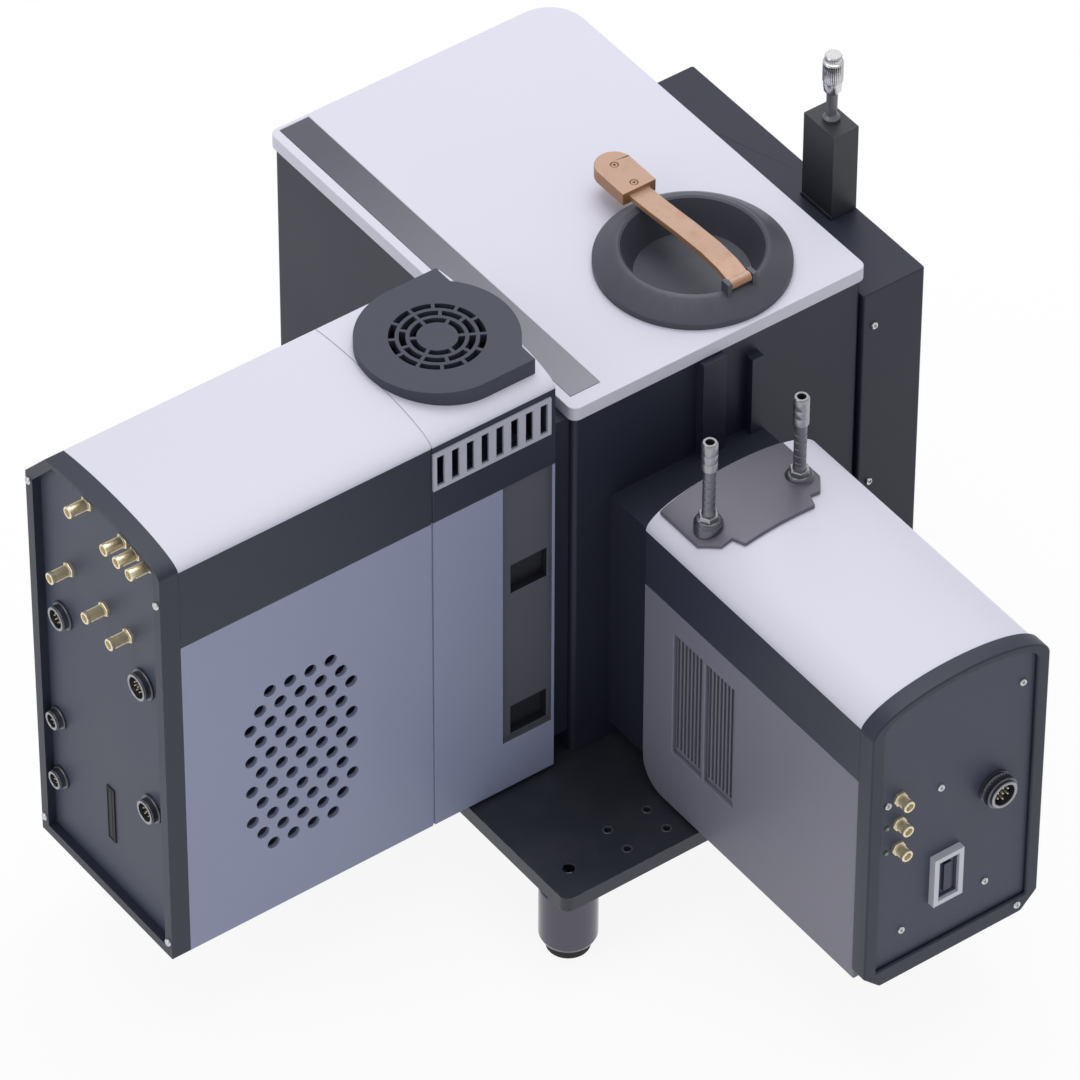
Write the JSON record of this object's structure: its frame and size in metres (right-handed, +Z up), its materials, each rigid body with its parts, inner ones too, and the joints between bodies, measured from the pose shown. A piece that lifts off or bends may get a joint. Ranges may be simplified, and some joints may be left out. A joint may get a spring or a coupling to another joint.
{
  "type": "optical spectrometer",
  "caption": "Benchtop optical spectrometer: grating spectrograph on a levelled plate, with a lift-out turret cap, micrometer slit and two detector heads at right angles.",
  "frame": {"origin": "on the bench, under the middle of the overall box; the case is on the -X, +Y side of it", "axes": "+Z up; +X along the case's long side towards the shorter detector; the taller detector lies along -Y"},
  "size_m": [0.5938, 0.5812, 0.444],
  "materials": {
    "plate_black": "black anodised, satin",
    "rubber_black": "matt black",
    "foot_chrome": "dark polished metal",
    "body_black": "black powder coat, satin",
    "cover_white": "cool white paint, satin",
    "strip_grey": "mid grey satin, bare",
    "cap_grey": "dark grey anodised, satin",
    "lever_copper": "copper brown anodised, satin",
    "inner_metal": "grey satin",
    "mirror_coat": "polished coating",
    "blade_steel": "bright satin metal",
    "shell_grey": "blue-grey paint, satin",
    "band_dark": "dark grey paint, satin",
    "grille_light": "light satin metal",
    "pad_grey": "mid grey moulding",
    "fan_black": "matt black",
    "panel_dark": "dark grey paint, matt",
    "right_grey": "grey paint, satin",
    "louvre_dark": "black paint, matt",
    "socket_white": "white, gloss",
    "glass_clear": "clear, coated"
  },
  "bodies": {
    "instrument": {"base_plate": "plate_black", "body_case": "body_black", "slit_module": "body_black", "slit_cartridge": "body_black", "left_adapter": "body_black", "right_adapter": "body_black", "adapter_clamps": "body_black", "entrance_flange": "body_black", "top_cover": "cover_white", "left_cover": "cover_white", "label_strip": "strip_grey", "turret_drive": "inner_metal", "mirror_mounts": "inner_metal", "left_sensor_tube": "inner_metal", "right_sensor_head": "inner_metal", "collimating_mirror": "mirror_coat", "focusing_mirror": "mirror_coat", "fold_mirror": "mirror_coat", "micrometer_sleeve": "blade_steel", "hose_barbs": "blade_steel", "coax_connectors": "blade_steel", "panel_screws": "blade_steel", "left_front_shell": "shell_grey", "left_rear_shell": "shell_grey", "left_band": "band_dark", "right_band_frame": "band_dark", "left_bezel_frame": "band_dark", "left_slot_grilles": "grille_light", "fan_pad": "pad_grey", "left_fan_frame": "fan_black", "left_rear_panel": "panel_dark", "right_rear_panel": "panel_dark", "left_sockets": "panel_dark", "right_power_socket": "panel_dark", "right_shell": "right_grey", "right_cover": "right_grey", "right_bezel_frame": "right_grey", "coolant_plate": "right_grey", "right_louvres": "louvre_dark", "right_data_socket": "socket_white", "sensor_windows": "glass_clear"},
    "cap": {"turret_cap": "cap_grey"},
    "lever": {"cap_lever": "lever_copper"},
    "turret": {"grating_turret": "inner_metal", "gratings": "mirror_coat"},
    "blade_near": {"slit_blade_near": "blade_steel"},
    "blade_far": {"slit_blade_far": "blade_steel"},
    "spindle": {"micrometer_spindle": "blade_steel"},
    "thimble": {"micrometer_thimble": "blade_steel"},
    "swing_mirror": {"exit_mirror": "mirror_coat"},
    "shutter": {"shutter_blade": "louvre_dark"},
    "rotor": {"fan_rotor": "fan_black"},
    "pad_front_left": {"foot_pad_front_left": "rubber_black"},
    "barrel_front_left": {"foot_barrel_front_left": "foot_chrome"},
    "pad_front_right": {"foot_pad_front_right": "rubber_black"},
    "barrel_front_right": {"foot_barrel_front_right": "foot_chrome"},
    "pad_back_left": {"foot_pad_back_left": "rubber_black"},
    "barrel_back_left": {"foot_barrel_back_left": "foot_chrome"},
    "pad_back_right": {"foot_pad_back_right": "rubber_black"},
    "barrel_back_right": {"foot_barrel_back_right": "foot_chrome"}
  },
  "joints": [
    {"name": "cap_lift", "type": "slide", "parent": "instrument", "child": "cap", "axis": [0, 0, 1], "range_m": [0, 0.06]},
    {"name": "lever_swing", "type": "hinge", "parent": "cap", "child": "lever", "pos_m": [0.002, 0.1538, 0.37], "axis": [0, 1, 0], "range_deg": [0, 80]},
    {"name": "turret_spin", "type": "hinge", "parent": "instrument", "child": "turret", "pos_m": [-0.044, 0.1538, 0.1123], "axis": [0, 0, 1], "continuous": true},
    {"name": "exit_mirror_swing", "type": "hinge", "parent": "instrument", "child": "swing_mirror", "pos_m": [-0.0619, 0.065, 0.17], "axis": [0, 0, 1], "range_deg": [-45, 0]},
    {"name": "shutter_swing", "type": "hinge", "parent": "instrument", "child": "shutter", "pos_m": [0.0415, 0.072, 0.23], "axis": [1, 0, 0], "range_deg": [0, 60]},
    {"name": "fan_spin", "type": "hinge", "parent": "instrument", "child": "rotor", "pos_m": [-0.03885, -0.0395, 0.3735], "axis": [0, 0, 1], "continuous": true},
    {"name": "spindle_slide", "type": "slide", "parent": "instrument", "child": "spindle", "axis": [0, 0, 1], "range_m": [0, 0.003]},
    {"name": "thimble_turn", "type": "hinge", "parent": "spindle", "child": "thimble", "pos_m": [-0.0625, 0.2725, 0.415], "axis": [0, 0, 1], "range_deg": [0, 2161]},
    {"name": "near_blade_slide", "type": "slide", "parent": "instrument", "child": "blade_near", "axis": [1, 0, 0], "range_m": [0, 0.00151]},
    {"name": "far_blade_slide", "type": "slide", "parent": "instrument", "child": "blade_far", "axis": [-1, 0, 0], "range_m": [0, 0.00151]},
    {"name": "front_left_foot_extend", "type": "slide", "parent": "instrument", "child": "pad_front_left", "axis": [0, 0, -1], "range_m": [0, 0.006]},
    {"name": "front_left_foot_turn", "type": "hinge", "parent": "pad_front_left", "child": "barrel_front_left", "pos_m": [0.0977, -0.0418, 0.0063], "axis": [0, 0, 1], "range_deg": [0, 1441]},
    {"name": "front_right_foot_extend", "type": "slide", "parent": "instrument", "child": "pad_front_right", "axis": [0, 0, -1], "range_m": [0, 0.006]},
    {"name": "front_right_foot_turn", "type": "hinge", "parent": "pad_front_right", "child": "barrel_front_right", "pos_m": [0.0977, 0.2685, 0.0063], "axis": [0, 0, 1], "range_deg": [0, 1441]},
    {"name": "back_left_foot_extend", "type": "slide", "parent": "instrument", "child": "pad_back_left", "axis": [0, 0, -1], "range_m": [0, 0.006]},
    {"name": "back_left_foot_turn", "type": "hinge", "parent": "pad_back_left", "child": "barrel_back_left", "pos_m": [-0.2749, -0.0418, 0.0063], "axis": [0, 0, 1], "range_deg": [0, 1441]},
    {"name": "back_right_foot_extend", "type": "slide", "parent": "instrument", "child": "pad_back_right", "axis": [0, 0, -1], "range_m": [0, 0.006]},
    {"name": "back_right_foot_turn", "type": "hinge", "parent": "pad_back_right", "child": "barrel_back_right", "pos_m": [-0.2749, 0.2685, 0.0063], "axis": [0, 0, 1], "range_deg": [0, 1441]}
  ],
  "couplings": [
    {"joint": "thimble_turn", "follows": "spindle_slide", "rad_per_m": 12566},
    {"joint": "near_blade_slide", "follows": "spindle_slide", "ratio": 0.5},
    {"joint": "far_blade_slide", "follows": "spindle_slide", "ratio": 0.5},
    {"joint": "front_left_foot_turn", "follows": "front_left_foot_extend", "rad_per_m": 4188.8},
    {"joint": "front_right_foot_turn", "follows": "front_right_foot_extend", "rad_per_m": 4188.8},
    {"joint": "back_left_foot_turn", "follows": "back_left_foot_extend", "rad_per_m": 4188.8},
    {"joint": "back_right_foot_turn", "follows": "back_right_foot_extend", "rad_per_m": 4188.8}
  ]
}
